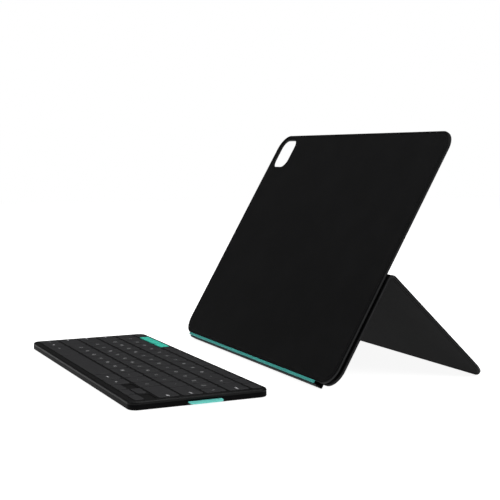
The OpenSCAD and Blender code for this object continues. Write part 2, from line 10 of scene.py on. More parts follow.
import bmesh
import bpy
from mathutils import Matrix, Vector


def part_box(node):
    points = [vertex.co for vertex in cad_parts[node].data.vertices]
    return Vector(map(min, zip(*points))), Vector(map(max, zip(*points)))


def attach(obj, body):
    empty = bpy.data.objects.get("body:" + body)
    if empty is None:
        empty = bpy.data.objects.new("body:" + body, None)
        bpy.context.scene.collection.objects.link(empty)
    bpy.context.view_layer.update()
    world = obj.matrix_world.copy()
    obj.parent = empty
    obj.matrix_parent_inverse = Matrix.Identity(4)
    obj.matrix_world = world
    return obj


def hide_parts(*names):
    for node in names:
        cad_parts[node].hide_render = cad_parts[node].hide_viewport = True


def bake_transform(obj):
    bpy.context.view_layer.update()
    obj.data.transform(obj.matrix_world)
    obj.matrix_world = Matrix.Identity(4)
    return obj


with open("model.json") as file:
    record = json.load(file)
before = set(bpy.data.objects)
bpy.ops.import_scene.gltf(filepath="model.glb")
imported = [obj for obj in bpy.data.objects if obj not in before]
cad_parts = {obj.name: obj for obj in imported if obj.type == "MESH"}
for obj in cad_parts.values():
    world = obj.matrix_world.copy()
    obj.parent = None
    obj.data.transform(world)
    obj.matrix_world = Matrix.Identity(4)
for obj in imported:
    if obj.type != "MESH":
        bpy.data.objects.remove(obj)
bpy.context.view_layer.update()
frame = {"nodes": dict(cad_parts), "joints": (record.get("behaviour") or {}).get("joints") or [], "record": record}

MM = 0.001
MIDDLE = "edge_highlight_share"
LOG = logging.getLogger("case")
Point2 = tuple[float, float]
Point3 = tuple[float, float, float]
Colour = tuple[float, float, float]


# ---- Shader maths ----


class Wire:
    """A value or colour inside a material: a socket whose operators add the nodes that work them out."""

    def __init__(self, graph: "Graph", socket: bpy.types.NodeSocket) -> None:
        """Wraps one output socket of a material's graph."""
        self.graph = graph
        self.socket = socket

    def _maths(self, operation: str, first: Any, second: Any) -> "Wire":
        """The result of one Math node on two values or wires."""
        return self.graph.add("ShaderNodeMath", {"operation": operation}, {0: first, 1: second})

    def __add__(self, other: Any) -> "Wire":
        """Adds a value."""
        return self._maths("ADD", self, other)

    __radd__ = __add__

    def __sub__(self, other: Any) -> "Wire":
        """Takes a value away."""
        return self._maths("SUBTRACT", self, other)

    def __rsub__(self, other: Any) -> "Wire":
        """Takes this away from a value."""
        return self._maths("SUBTRACT", other, self)

    def __mul__(self, other: Any) -> "Wire":
        """Multiplies by a value."""
        return self._maths("MULTIPLY", self, other)

    __rmul__ = __mul__

    def clamped(self, low: float, high: float) -> "Wire":
        """Holds the value between low and high."""
        return self._maths("MINIMUM", self._maths("MAXIMUM", self, low), high)

    def stepped(self, start: float, end: float) -> "Wire":
        """Rises smoothly from 0 at start to 1 at end."""
        settings = {"interpolation_type": "SMOOTHSTEP"}
        values = {"Value": self, "From Min": start, "From Max": end}
        return self.graph.add("ShaderNodeMapRange", settings, values)


class Graph:
    """The node graph of one material."""

    def __init__(self, name: str) -> None:
        """Starts an empty material with a Principled shader.

        Args:
            name: the material's name.
        """
        self.material = bpy.data.materials.new(name)
        self.material.use_nodes = True
        self.tree = self.material.node_tree
        self.tree.nodes.clear()
        output = self.tree.nodes.new("ShaderNodeOutputMaterial")
        self.shader = self.tree.nodes.new("ShaderNodeBsdfPrincipled")
        self.tree.links.new(self.shader.outputs[0], output.inputs["Surface"])

    def add(self, kind: str, settings: dict[str, Any], values: dict[Any, Any], out: Any = 0) -> Wire:
        """Adds any node.

        Args:
            kind: the node's type.
            settings: its own settings, set before its sockets.
            values: what goes into its input sockets, by name or place: numbers, colours or wires.
            out: which of its outputs to return, by name or place.

        Returns:
            The chosen output.
        """
        node = self.tree.nodes.new(kind)
        for name, value in settings.items():
            setattr(node, name, value)
        for key, value in values.items():
            self.feed(node.inputs[key], value)
        return Wire(self, node.outputs[out])

    def feed(self, socket: bpy.types.NodeSocket, value: Any) -> None:
        """Puts a number, a colour or a wire into a socket.

        Args:
            socket: the input.
            value: what goes in.
        """
        if isinstance(value, Wire):
            self.tree.links.new(value.socket, socket)
        elif isinstance(value, tuple) and len(value) == 3 and len(socket.default_value) == 4:
            socket.default_value = (*value, 1.0)
        else:
            socket.default_value = value

    def place(self) -> Wire:
        """The surface point in the row frame, in metres."""
        return self.add("ShaderNodeTexCoord", {}, {}, "Object")

    def noise(self, size: float, detail: float = 2.0, roughness: float = 0.5) -> Wire:
        """Cloudy noise from 0 to 1: size is the width of a cloud, and the others its finer layers."""
        values = {"Vector": self.place(), "Scale": 1 / size, "Detail": detail, "Roughness": roughness}
        return self.add("ShaderNodeTexNoise", {}, values)

    def cells(self, size: float) -> Wire:
        """Pebbled cells of a width in metres: the distance from each cell's middle."""
        return self.add("ShaderNodeTexVoronoi", {}, {"Vector": self.place(), "Scale": 1 / size}, "Distance")

    def mix(self, share: Any, first: Any, second: Any) -> Wire:
        """Mixes two colours.

        Args:
            share: 0 gives the first and 1 the second.
            first: a colour or wire.
            second: a colour or wire.

        Returns:
            The mixed colour.
        """
        node = self.tree.nodes.new("ShaderNodeMix")
        node.data_type = "RGBA"
        self.feed(node.inputs[0], share)
        self.feed(node.inputs[6], first)
        self.feed(node.inputs[7], second)
        return Wire(self, node.outputs[2])

    def bump(self, height: Wire, depth: float) -> Wire:
        """The surface normal from a height of 0 to 1 and its full depth in metres."""
        return self.add("ShaderNodeBump", {}, {"Height": height, "Distance": depth, "Strength": 1.0})

    def fixed(self, **values: Any) -> None:
        """Sets shader values that are the same all over; underscores in a name stand for spaces."""
        for name, value in values.items():
            self.feed(self.shader.inputs[name.replace("_", " ")], value)

    def varied(self, name: str, wire: Wire) -> None:
        """Links what changes over the surface to one of the shader's inputs."""
        self.feed(self.shader.inputs[name], wire)


# ---- Finishes ----

SPECK_ROUGHNESS = 0.12
CLOUD_ROUGHNESS = 0.1


@dataclass(frozen=True)
class Finish:
    """What every finish has: its colours, its gloss, and mottling between the two colours."""

    name: str
    colour: Colour
    worn: Colour
    roughness: float
    gloss: float = 0.3
    mottle: float = 14 * MM
    grain: float = 0.5 * MM
    depth: float = 0.02 * MM

    def clouds(self, graph: Graph) -> Wire:
        """The slow mottling, from 0 to 1."""
        return graph.noise(self.mottle, 4.0, 0.6)

    def mottled(self, graph: Graph, clouds: Wire) -> Wire:
        """The finish's two colours, mixed in patches."""
        return graph.mix(clouds.stepped(0.35, 0.75), self.colour, self.worn)

    def start(self) -> Graph:
        """Sets the shared part of the finish: mottled colour and roughness.

        Returns:
            The material's graph.
        """
        graph = Graph(self.name)
        cloud = self.clouds(graph)
        graph.varied("Base Color", self.mottled(graph, cloud))
        fine = graph.noise(self.grain * 4, 3.0)
        roughness = self.roughness + (fine - 0.5) * SPECK_ROUGHNESS + (cloud - 0.5) * CLOUD_ROUGHNESS
        graph.varied("Roughness", roughness.clamped(0.05, 1.0))
        graph.fixed(Specular_IOR_Level=self.gloss)
        return graph

    def build(self) -> bpy.types.Material:
        """Makes the material."""
        graph = self.start()
        graph.varied("Normal", graph.bump(graph.noise(self.grain, 3.0), self.depth))
        return graph.material


@dataclass(frozen=True)
class GrainedSkin(Finish):
    """A soft-touch skin with a fine pebbled grain."""

    def build(self) -> bpy.types.Material:
        """Makes the material."""
        graph = self.start()
        pebble = graph.cells(self.grain) * 0.7 + graph.noise(self.grain * 0.6, 2.0) * 0.3
        graph.varied("Normal", graph.bump(pebble, self.depth))
        return graph.material


@dataclass(frozen=True)
class NappedLining(Finish):
    """A microfibre lining: a short nap brushed in patches."""

    sheen: float = 0.05

    def build(self) -> bpy.types.Material:
        """Makes the material."""
        graph = self.start()
        graph.fixed(Sheen_Weight=self.sheen, Sheen_Roughness=0.6)
        nap = graph.noise(self.grain, 4.0, 0.7) * 0.75 + graph.noise(self.mottle * 0.5, 2.0) * 0.25
        graph.varied("Normal", graph.bump(nap, self.depth))
        return graph.material


@dataclass(frozen=True)
class BrushedMetal(Finish):
    """Rolled or plated metal with fine lines along X."""

    def build(self) -> bpy.types.Material:
        """Makes the material."""
        graph = self.start()
        graph.fixed(Metallic=1.0)
        values = {"Vector": graph.place(), "Scale": (0.05, 1.0, 1.0)}
        stretched = graph.add("ShaderNodeMapping", {}, values)
        values = {"Vector": stretched, "Scale": 1 / self.grain, "Detail": 2.0}
        lines = graph.add("ShaderNodeTexNoise", {}, values)
        graph.varied("Normal", graph.bump(lines, self.depth))
        return graph.material


@dataclass(frozen=True)
class PrintedFilm(Finish):
    """Film or board with printed tracks on it."""

    track: Colour = (0.3, 0.3, 0.3)
    pitch: float = 2.4 * MM

    def build(self) -> bpy.types.Material:
        """Makes the material."""
        graph = self.start()
        values = {"Vector": graph.place(), "Scale": 0.05 / self.pitch, "Distortion": 1.5, "Detail": 1.0}
        tracks = graph.add("ShaderNodeTexWave", {"bands_direction": "DIAGONAL"}, values, 1).stepped(0.72, 0.8)
        graph.varied("Base Color", graph.mix(tracks, self.colour, self.track))
        graph.varied("Normal", graph.bump(tracks, self.depth))
        return graph.material


@dataclass(frozen=True)
class SealedEdgeWithPaintedHighlight(Finish):
    """A cut and sealed edge: the skins' dark colour near both faces, and a lighter grey along the middle of its
    thickness that is a painted highlight.
    """

    skin: Colour = (0.0035, 0.0035, 0.0038)
    waver: float = 0.12

    def build(self) -> bpy.types.Material:
        """Makes the material."""
        graph = self.start()
        # Painted highlight: a lighter band along the middle of the edge, with the skins' dark colour near both
        # faces.
        middle = graph.add("ShaderNodeAttribute", {"attribute_name": MIDDLE}, {}, "Fac")
        highlight_band = middle + (graph.noise(self.grain * 3, 2.0) - 0.5) * self.waver
        inside = self.mottled(graph, self.clouds(graph))
        graph.varied("Base Color", graph.mix(highlight_band.stepped(0.42, 0.78), self.skin, inside))
        graph.varied("Normal", graph.bump(graph.noise(self.grain, 3.0), self.depth))
        return graph.material


FINISHES: dict[str, Finish] = {
    "board": Finish("grey_board", (0.15, 0.15, 0.16), (0.1, 0.1, 0.11), 0.85,
                    grain=0.8 * MM, depth=0.05 * MM),
    "black_lining": NappedLining("black_lining", (0.0056, 0.0056, 0.006), (0.0076, 0.0076, 0.008), 0.62, 0.08,
                                 26 * MM, 0.32 * MM, 0.02 * MM, 0.01),
    "black_skin": GrainedSkin("black_skin", (0.0045, 0.0045, 0.005), (0.0065, 0.0065, 0.007), 0.55, 0.2,
                              18 * MM, 0.42 * MM, 0.02 * MM),
    # Sealed edges: their lighter grey is a painted highlight along the middle of each edge.
    "sealed_edge": SealedEdgeWithPaintedHighlight("sealed_edge", (0.021, 0.021, 0.022), (0.029, 0.029, 0.03), 0.5, 0.12,
                               9 * MM, 0.5 * MM, 0.008 * MM),
    "magnet": BrushedMetal("plated_magnet", (0.6, 0.6, 0.62), (0.5, 0.5, 0.52), 0.28),
    "hinge_strip": Finish("hinge_strip", (0.03, 0.03, 0.032), (0.05, 0.05, 0.052), 0.6),
    "teal_lining": NappedLining("teal_lining", (0.05, 0.46, 0.41), (0.065, 0.52, 0.46), 0.5, 0.35,
                                10 * MM, 0.3 * MM, 0.012 * MM),
    # Black case plastic, darkened further as painted shade for the web between the keys.
    "case_plastic": Finish("case_plastic", (0.0035, 0.0035, 0.0037), (0.005, 0.005, 0.0053), 0.42, 0.2,
                           12 * MM, 0.25 * MM, 0.007 * MM),
    "black_key": Finish("black_key", (0.03, 0.03, 0.032), (0.037, 0.037, 0.039), 0.5, 0.3,
                        8 * MM, 0.2 * MM, 0.006 * MM),
    "teal_key": Finish("teal_key", (0.07, 0.8, 0.6), (0.08, 0.88, 0.67), 0.48, 0.35,
                       8 * MM, 0.2 * MM, 0.006 * MM),
    "steel": BrushedMetal("rolled_steel", (0.55, 0.55, 0.57), (0.45, 0.45, 0.47), 0.35),
    "membrane_film": PrintedFilm("membrane_film", (0.6, 0.58, 0.5), (0.55, 0.53, 0.46), 0.35),
    "silicone": Finish("silicone", (0.7, 0.7, 0.68), (0.62, 0.62, 0.6), 0.4, 0.5),
    "scissor_plastic": Finish("scissor_plastic", (0.55, 0.55, 0.54), (0.48, 0.48, 0.47), 0.5, 0.4),
    "circuit_board": PrintedFilm("circuit_board", (0.01, 0.1, 0.05), (0.012, 0.12, 0.06), 0.3, 0.5,
                                 track=(0.02, 0.2, 0.09), pitch=1.1 * MM),
    "contact_metal": BrushedMetal("contact_metal", (0.8, 0.6, 0.25), (0.7, 0.52, 0.22), 0.25),
    "teal_tab": Finish("teal_tab", (0.2, 0.88, 0.78), (0.24, 0.94, 0.84), 0.5, 0.35,
                       6 * MM, 0.25 * MM, 0.01 * MM),
    "foot_rubber": GrainedSkin("foot_rubber", (0.018, 0.018, 0.018), (0.03, 0.03, 0.03), 0.8, 0.2),
}
# A darker, less glossy copy of the case plastic: painted shade on the lower shell's sides and underside.
SHADED_UNDERSIDE = Finish("case_underside_painted_shade", (0.0025, 0.0025, 0.0027), (0.0038, 0.0038, 0.004), 0.5, 0.05,
                   12 * MM, 0.25 * MM, 0.007 * MM)
LEGEND_INK = Finish("legend_ink", (0.85, 0.85, 0.87), (0.75, 0.75, 0.77), 0.55, 0.3,
                    3 * MM, 0.1 * MM, 0.002 * MM)
DARK_INK = Finish("dark_legend_ink", (0.03, 0.2, 0.17), (0.03, 0.17, 0.15), 0.55, 0.3,
                  3 * MM, 0.1 * MM, 0.002 * MM)


class Wardrobe:
    """Makes each finish's material once and hands it out."""

    def __init__(self) -> None:
        """Starts empty."""
        self.made: dict[str, bpy.types.Material] = {}

    def get(self, finish: Finish) -> bpy.types.Material:
        """The finish's material.

        Args:
            finish: the finish.

        Returns:
            Its material, made on the first call.
        """
        if finish.name not in self.made:
            self.made[finish.name] = finish.build()
        return self.made[finish.name]

    def dress(self, thing: bpy.types.Object, slot: str, finish: Finish | None = None) -> None:
        """Gives a piece the material of its slot, or of another finish.

        Args:
            thing: the piece.
            slot: the record's material slot.
            finish: another finish than the slot's own.
        """
        thing.data.materials.clear()
        thing.data.materials.append(self.get(finish or FINISHES[slot]))


WARDROBE = Wardrobe()


# ---- Mesh work ----


def ring_faces(rings: Sequence[Sequence[int]], closed: bool) -> list[list[int]]:
    """Quads between neighbouring rings of vertices.

    Args:
        rings: the rings' vertex numbers, all of the same length.
        closed: whether each ring joins up with its own start.

    Returns:
        The faces.
    """
    faces = []
    for one, two in zip(rings, rings[1:]):
        count = len(one)
        for i in range(count if closed else count - 1):
            j = (i + 1) % count
            faces.append([one[i], one[j], two[j], two[i]])
    return faces


class Shape:
    """Collects vertices and faces, and turns them into a piece."""

    def __init__(self, place: Callable[[float, float, float], Vector]) -> None:
        """Starts an empty shape.

        Args:
            place: turns a point of the shape's own frame into the row frame.
        """
        self.place = place
        self.points: list[Vector] = []
        self.faces: list[list[int]] = []

    def ring(self, points: Iterable[Point3]) -> list[int]:
        """Adds a ring of points.

        Args:
            points: the points, in the shape's own frame.

        Returns:
            Their vertex numbers.
        """
        start = len(self.points)
        self.points.extend(self.place(*p) for p in points)
        return list(range(start, len(self.points)))

    def loft(self, rings: Sequence[Iterable[Point3]], closed: bool = True) -> list[list[int]]:
        """Adds rings joined by quads.

        Args:
            rings: each ring's points.
            closed: whether each ring is closed.

        Returns:
            The rings' vertex numbers.
        """
        made = [self.ring(r) for r in rings]
        self.faces += ring_faces(made, closed)
        return made

    def solid(self, rings: Sequence[Iterable[Point3]]) -> None:
        """Adds closed rings joined by quads, with the first and the last one filled.

        Args:
            rings: each ring's points.
        """
        made = self.loft(rings)
        self.fill(made[0])
        self.fill(made[-1])

    def fill(self, *loops: Sequence[int]) -> None:
        """Fills a flat area between loops: the first is its outline and the others are its holes.

        Args:
            loops: each loop's vertex numbers.
        """
        if len(loops) == 1:
            self.faces.append(list(loops[0]))
            return
        flat = bmesh.new()
        numbers: list[int] = []
        edges = []
        for loop in loops:
            made = [flat.verts.new(self.points[i]) for i in loop]
            numbers += list(loop)
            edges += [flat.edges.new((a, b)) for a, b in zip(made, made[1:] + made[:1])]
        flat.verts.index_update()
        bmesh.ops.triangle_fill(flat, use_beauty=True, use_dissolve=False, edges=edges)
        flat.verts.index_update()
        self.faces += [[numbers[v.index] for v in f.verts] for f in flat.faces]
        flat.free()

    def finish(self, name: str, sharp: float = 35.0) -> bpy.types.Object:
        """Makes the piece.

        Args:
            name: its name.
            sharp: edges that turn by more degrees than this stay crisp.

        Returns:
            The new piece, linked to the scene.
        """
        mesh = bpy.data.meshes.new(name)
        mesh.from_pydata(self.points, [], self.faces)
        work = bmesh.new()
        work.from_mesh(mesh)
        bmesh.ops.remove_doubles(work, verts=work.verts, dist=1e-7)
        bmesh.ops.recalc_face_normals(work, faces=work.faces)
        work.to_mesh(mesh)
        work.free()
        mesh.shade_smooth()
        mesh.set_sharp_from_angle(angle=math.radians(sharp))
        piece = bpy.data.objects.new(name, mesh)
        bpy.context.scene.collection.objects.link(piece)
        return piece


@dataclass(frozen=True)
class Outline:
    """A rectangle with rounded corners, drawn in its own flat frame."""

    left: float
    right: float
    low: float
    high: float
    radii: tuple[float, float, float, float]
    open_top: bool = False
    steps: int = 10

    def inset(self, distance: float) -> list[Point2]:
        """The outline drawn in by a distance; an open top edge stays where it is.

        Args:
            distance: how far in, or out where it is negative.

        Returns:
            The points, from the top left corner down and round to the top right one.
        """
        left, right, low = self.left + distance, self.right - distance, self.low + distance
        high = self.high if self.open_top else self.high - distance
        corners = [(left, low, 180.0, 1, 1), (right, low, 270.0, -1, 1), (right, high, 0.0, -1, -1),
                   (left, high, 90.0, 1, -1)]
        points: list[Point2] = []
        if self.open_top:
            points.append((left, high))
        for (x, y, start, sx, sy), radius in zip(corners, self.radii):
            if self.open_top and sy < 0:
                continue
            r = max(radius - distance, 0.02 * MM)
            for k in range(self.steps + 1):
                a = math.radians(start + 90.0 * k / self.steps)
                points.append((x + sx * r + r * math.cos(a), y + sy * r + r * math.sin(a)))
        if self.open_top:
            points.append((right, high))
        return points

    def ring(self, distance: float, height: float) -> list[Point3]:
        """The outline drawn in by a distance, at a height."""
        return [(x, y, height) for x, y in self.inset(distance)]


def round_box(left: float, right: float, low: float, high: float, radius: float, steps: int) -> Outline:
    """A rectangle with four equal round corners."""
    return Outline(left, right, low, high, (radius,) * 4, steps=steps)


def row_point(x: float, y: float, z: float) -> Vector:
    """A point that is given in the row frame already."""
    return Vector((x, y, z))


def quarter_turn(steps: int) -> list[float]:
    """Evenly spaced angles from 0 to a quarter turn, both included."""
    return [math.radians(90 * k / steps) for k in range(steps + 1)]


@dataclass(frozen=True)
class Flat:
    """A flat frame in space: x to the right, up along a sheet, and out of its face."""

    origin: Vector
    up: Vector
    out: Vector

    def at(self, x: float, y: float, z: float) -> Vector:
        """The point in the row frame."""
        return self.origin + Vector((x, 0, 0)) + self.up * y + self.out * z


def mark_middle(piece: bpy.types.Object, share: Callable[[Vector], float]) -> None:
    """Marks how close each point of an edge is to its sheet's middle: 0 at the skins and 1 in the middle; the
    edge's painted highlight follows this share.
    """
    marks = piece.data.attributes.new(MIDDLE, "FLOAT", "POINT")
    marks.data.foreach_set("value", [min(max(share(v.co), 0.0), 1.0) for v in piece.data.vertices])


def stand_for(piece: bpy.types.Object, body: str, slot: str, *nodes: str) -> bpy.types.Object:
    """Puts a finished piece on its body in place of its CAD nodes.

    Args:
        piece: the piece.
        body: the body it moves with.
        slot: its material slot.
        nodes: the CAD nodes it stands for.

    Returns:
        The piece.
    """
    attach(piece, body)
    if nodes:
        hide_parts(*nodes)
    WARDROBE.dress(piece, slot)
    LOG.info("%s on %s", piece.name, body)
    return piece


def bend_between(piece: bpy.types.Object, bodies: tuple[str, str], slot: str, nodes: Sequence[str],
                 start: Vector, end: Vector) -> None:
    """Fixes a finished piece where it stands, in place of its CAD nodes, and logs the two bodies it lies between.

    Args:
        piece: the piece.
        bodies: the two bodies.
        slot: its material slot.
        nodes: the CAD nodes it stands for.
        start: not used.
        end: not used.
    """
    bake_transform(piece)
    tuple(start)
    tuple(end)
    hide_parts(*nodes)
    WARDROBE.dress(piece, slot)
    LOG.info("%s between %s and %s", piece.name, *bodies)


# ---- The folding stand ----


@dataclass(frozen=True)
class SheetSizes:
    """Sizes that every stiff sheet shares."""

    thickness: float = 2.8 * MM
    skin: float = 0.5 * MM
    edge: float = 1.4 * MM
    edge_round: float = 0.8 * MM
    corner: float = 15 * MM
    weld_from: float = 2.2 * MM
    weld_width: float = 0.9 * MM
    weld_depth: float = 0.14 * MM
    seam_depth: float = 0.12 * MM


SHEET = SheetSizes()


class Face(Enum):
    """Which face of a sheet a skin lies on."""

    FRONT = 1
    BACK = -1


@dataclass
class Sheet:
    """A stiff board between two skins, with a sealed edge all round."""

    flat: Flat
    outline: Outline
    body: str
    hole: Outline | None = None
    sizes: SheetSizes = SHEET

    def skin(self, name: str, face: Face, slot: str, node: str) -> bpy.types.Object:
        """One skin, with a welded line pressed in along its border.

        Args:
            name: the piece's name.
            face: which face it lies on.
            slot: its material slot.
            node: the CAD node it stands for.

        Returns:
            The piece.
        """
        s = self.sizes
        weld_end = s.weld_from + s.weld_width
        slope = s.weld_width / 4
        steps = [(s.edge, -s.seam_depth), (s.edge + s.seam_depth, 0.0), (s.weld_from - slope, 0.0),
                 (s.weld_from, -s.weld_depth), (weld_end, -s.weld_depth), (weld_end + slope, 0.0)]
        shape = Shape(self.flat.at)
        top = s.thickness / 2 * face.value
        under = top - s.skin * face.value
        loops = self._steps(shape, self.outline, steps, top, under, face)
        if self.hole is None:
            shape.fill(loops[0])
            shape.fill(loops[1])
        else:
            outward = [(-d, h) for d, h in steps]
            hole_loops = self._steps(shape, self.hole, outward, top, under, face)
            shape.fill(loops[0], hole_loops[0])
            shape.fill(loops[1], hole_loops[1])
        return stand_for(shape.finish(name, 20), self.body, slot, node)

    @staticmethod
    def _steps(shape: Shape, outline: Outline, steps: Sequence[Point2], top: float, under: float,
               face: Face) -> tuple[list[int], list[int]]:
        """Steps a skin's border from its underside, over its rim and in across the weld line.

        Args:
            shape: the shape to add to.
            outline: the sheet's outline or its hole.
            steps: pairs of inset and height.
            top: the skin's outer face.
            under: its inner face.
            face: which side of the sheet it lies on.

        Returns:
            The innermost loop of the face and the loop of the underside.
        """
        rings = [outline.ring(steps[0][0], under)]
        rings += [outline.ring(d, top + h * face.value) for d, h in steps]
        made = shape.loft(rings)
        return made[-1], made[0]

    def edge(self, name: str, node: str) -> bpy.types.Object:
        """The sealed edge: a rounded bead round the sheet.

        Args:
            name: the piece's name.
            node: the CAD node it stands for.

        Returns:
            The piece.
        """
        s = self.sizes
        half = s.thickness / 2
        r = s.edge_round
        flank = [(half - r) * k for k in (0.5, 0.0, -0.5)]
        profile = [(s.edge, half - s.seam_depth), (s.edge - s.seam_depth, half)]
        profile += [(r - r * math.sin(a), half - r + r * math.cos(a)) for a in quarter_turn(5)]
        profile += [(0.0, y) for y in flank]
        profile += [(r - r * math.cos(a), r - half - r * math.sin(a)) for a in quarter_turn(5)]
        profile += [(s.edge - s.seam_depth, -half), (s.edge, s.seam_depth - half)]
        return self._bead(name, profile, self.outline, node)

    def _bead(self, name: str, profile: Sequence[Point2], outline: Outline, node: str) -> bpy.types.Object:
        """Sweeps an edge profile round an outline.

        Args:
            name: the piece's name.
            profile: closed loop of inset and height.
            outline: what it runs round.
            node: the CAD node it stands for.

        Returns:
            The piece.
        """
        shape = Shape(self.flat.at)
        closed = not outline.open_top
        rings = [outline.ring(d, h) for d, h in profile]
        made = shape.loft(rings + rings[:1], closed)
        if not closed:
            shape.fill([r[0] for r in made[:-1]])
            shape.fill([r[-1] for r in made[:-1]])
        piece = shape.finish(name, 50)
        half = self.sizes.thickness / 2
        # The share of the sheet's middle, which places the edge's painted highlight.
        mark_middle(piece, lambda p: 1 - abs((p - self.flat.origin).dot(self.flat.out)) / half)
        return stand_for(piece, self.body, "sealed_edge", node)

    def hole_edge(self, name: str, node: str, lip: float = 0.45 * MM) -> bpy.types.Object:
        """The sealed edge of the sheet's hole.

        Args:
            name: the piece's name.
            node: the CAD node it stands for.
            lip: rounding of its two lips.

        Returns:
            The piece.
        """
        s = self.sizes
        half = s.thickness / 2
        inner = [(lip * math.cos(a) - lip, half - lip + lip * math.sin(a)) for a in quarter_turn(5)]
        flank = [(0.0, (half - lip) * k) for k in (0.5, 0.0, -0.5)]
        profile = [(-s.edge, half - s.seam_depth), (-s.edge + s.seam_depth, half)]
        profile += inner[::-1] + flank
        profile += [(x, -y) for x, y in inner]
        profile += [(-s.edge + s.seam_depth, -half), (-s.edge, s.seam_depth - half)]
        return self._bead(name, profile, self.hole, node)


def hinge_joint(name: str) -> Vector:
    """A point on a joint's axis, in the row frame."""
    return Vector(next(j for j in frame["joints"] if j["name"] == name)["pos_m"])


def tablet_face() -> tuple[Vector, Vector]:
    """The middle of the face that the tablet rests on, and the way that it faces."""
    mount = next(m for m in frame["record"]["mounts"] if m["name"] == "tablet_face")
    return Vector(mount["pos_m"]), Vector(mount["axis"]).normalized()


@dataclass
class Stand:
    """The tablet panel, the spine, the cover behind it and the kickstand flap."""

    cover_gap: float = 1.6 * MM
    fold_height: float = 94.6 * MM
    fold_half: float = 3.2 * MM
    fold_depth: float = 1.3 * MM
    camera: tuple[float, float] = (29.5 * MM, 30 * MM)
    camera_margin: float = 5 * MM
    camera_corner: float = 8.5 * MM
    spine_drop: float = 3.4 * MM
    spine_round: float = 1.0 * MM
    spine_end_gap: float = 4 * MM
    teal_offset: float = 3.5 * MM
    spine_grip: float = 0.3 * MM
    spine_wall: float = 0.75 * MM
    teal_height: float = 2.1 * MM
    bead: float = 0.85 * MM
    bead_seat: float = 0.6
    teal_fold_past: float = 0.4 * MM
    rear_fold_depth: float = 1.6 * MM
    rear_fold_drop: float = 1.9 * MM
    band_steps: int = 60
    band_ease: float = 1.2 * MM
    band_ends: tuple[Point2, ...] = ((0.0, 0.82), (0.1, 0.93), (0.35, 0.985))
    bend_steps: int = 24
    strip_half: float = 0.3 * MM
    sheet: SheetSizes = SHEET
    width: float = field(init=False)
    height: float = field(init=False)
    panel_flat: Flat = field(init=False)
    cover_flat: Flat = field(init=False)
    flap_flat: Flat = field(init=False)

    def __post_init__(self) -> None:
        """Finds the three sheets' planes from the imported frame."""
        face, out = tablet_face()
        up = Vector((1, 0, 0)).cross(out) * -1
        low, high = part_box("panel_core")
        self.width = high.x - low.x + 2 * self.sheet.edge
        board = self.sheet.thickness - 2 * self.sheet.skin
        self.height = ((high.z - low.z) - board * out.z) / up.z + 2 * self.sheet.edge
        base = face - up * (self.height / 2)
        t = self.sheet.thickness
        self.panel_flat = Flat(base - out * (t / 2), up, out)
        self.cover_flat = Flat(base - out * (1.5 * t + self.cover_gap), up, out)
        low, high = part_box("flap_core")
        long = self.height - self.fold_height - self.fold_half - self.sheet.edge
        thin = t - 2 * self.sheet.skin
        dy, dz = high.y - low.y, high.z - low.z
        slope = math.atan2(long * dz - thin * dy, long * dy - thin * dz)
        down = Vector((0, math.cos(slope), -math.sin(slope)))
        over = Vector((0, math.sin(slope), math.cos(slope)))
        axis = hinge_joint("kickstand_fold")
        self.flap_flat = Flat(axis + over * self.fold_depth, down, over)

    def build(self) -> None:
        """Builds every piece of the stand."""
        self._panel()
        self._cover()
        self._flap()
        self._fold()
        self._spine()

    def _panel(self) -> None:
        """The tablet panel with its camera cut-out."""
        half, r = self.width / 2, self.sheet.corner
        outline = round_box(-half, half, 0, self.height, r, 16)
        wide, tall = self.camera
        left, high = -half + self.camera_margin, self.height - self.camera_margin
        hole = round_box(left, left + wide, high - tall, high, self.camera_corner, 16)
        sheet = Sheet(self.panel_flat, outline, "panel", hole)
        sheet.skin("panel_lining_sheet", Face.FRONT, "black_lining", "panel_front_lining")
        sheet.skin("panel_skin_sheet", Face.BACK, "black_skin", "panel_back_skin")
        sheet.edge("panel_sealed_edge", "panel_edge")
        sheet.hole_edge("camera_sealed_edge", "camera_edge")

    def _tongue(self, length: float) -> Outline:
        """Outline of a sheet with two round corners and a straight end at the fold."""
        half, r = self.width / 2, self.sheet.corner
        return Outline(-half, half, 0, length, (r, r, 0, 0), open_top=True, steps=16)

    def _cover(self) -> None:
        """The cover folded behind the panel."""
        sheet = Sheet(self.cover_flat, self._tongue(self.fold_height - self.fold_half), "cover")
        sheet.skin("cover_lining_sheet", Face.BACK, "black_lining", "cover_lining")
        sheet.skin("cover_skin_sheet", Face.FRONT, "black_skin", "cover_outer_skin")
        sheet.edge("cover_sealed_edge", "cover_edge")

    def _flap(self) -> None:
        """The kickstand flap, drawn from its round tip up to the fold."""
        length = self.height - self.fold_height - self.fold_half
        tip = self.fold_half + length
        flat = Flat(self.flap_flat.at(0, tip, 0), self.flap_flat.up * -1, self.flap_flat.out)
        sheet = Sheet(flat, self._tongue(length), "flap")
        sheet.skin("flap_lining_sheet", Face.BACK, "black_lining", "flap_lining")
        sheet.skin("flap_skin_sheet", Face.FRONT, "black_skin", "flap_outer_skin")
        sheet.edge("flap_sealed_edge", "flap_edge")

    def _bend_frame(self) -> tuple[Vector, float, float, float]:
        """The bend's centre line: a round arc from the cover's end to the flap's start.

        Returns:
            Its centre, its radius, its first angle and how far it turns, in the y-z plane.
        """
        start = self.cover_flat.at(0, self.fold_height - self.fold_half, 0)
        end = self.flap_flat.at(0, self.fold_half, 0)
        turned = self.cover_flat.up.angle(self.flap_flat.up)
        radius = (end - start).length / 2 / math.sin(turned / 2)
        centre = start - self.cover_flat.out * radius
        first = math.atan2(start.z - centre.z, start.y - centre.y)
        return centre, radius, first, -turned

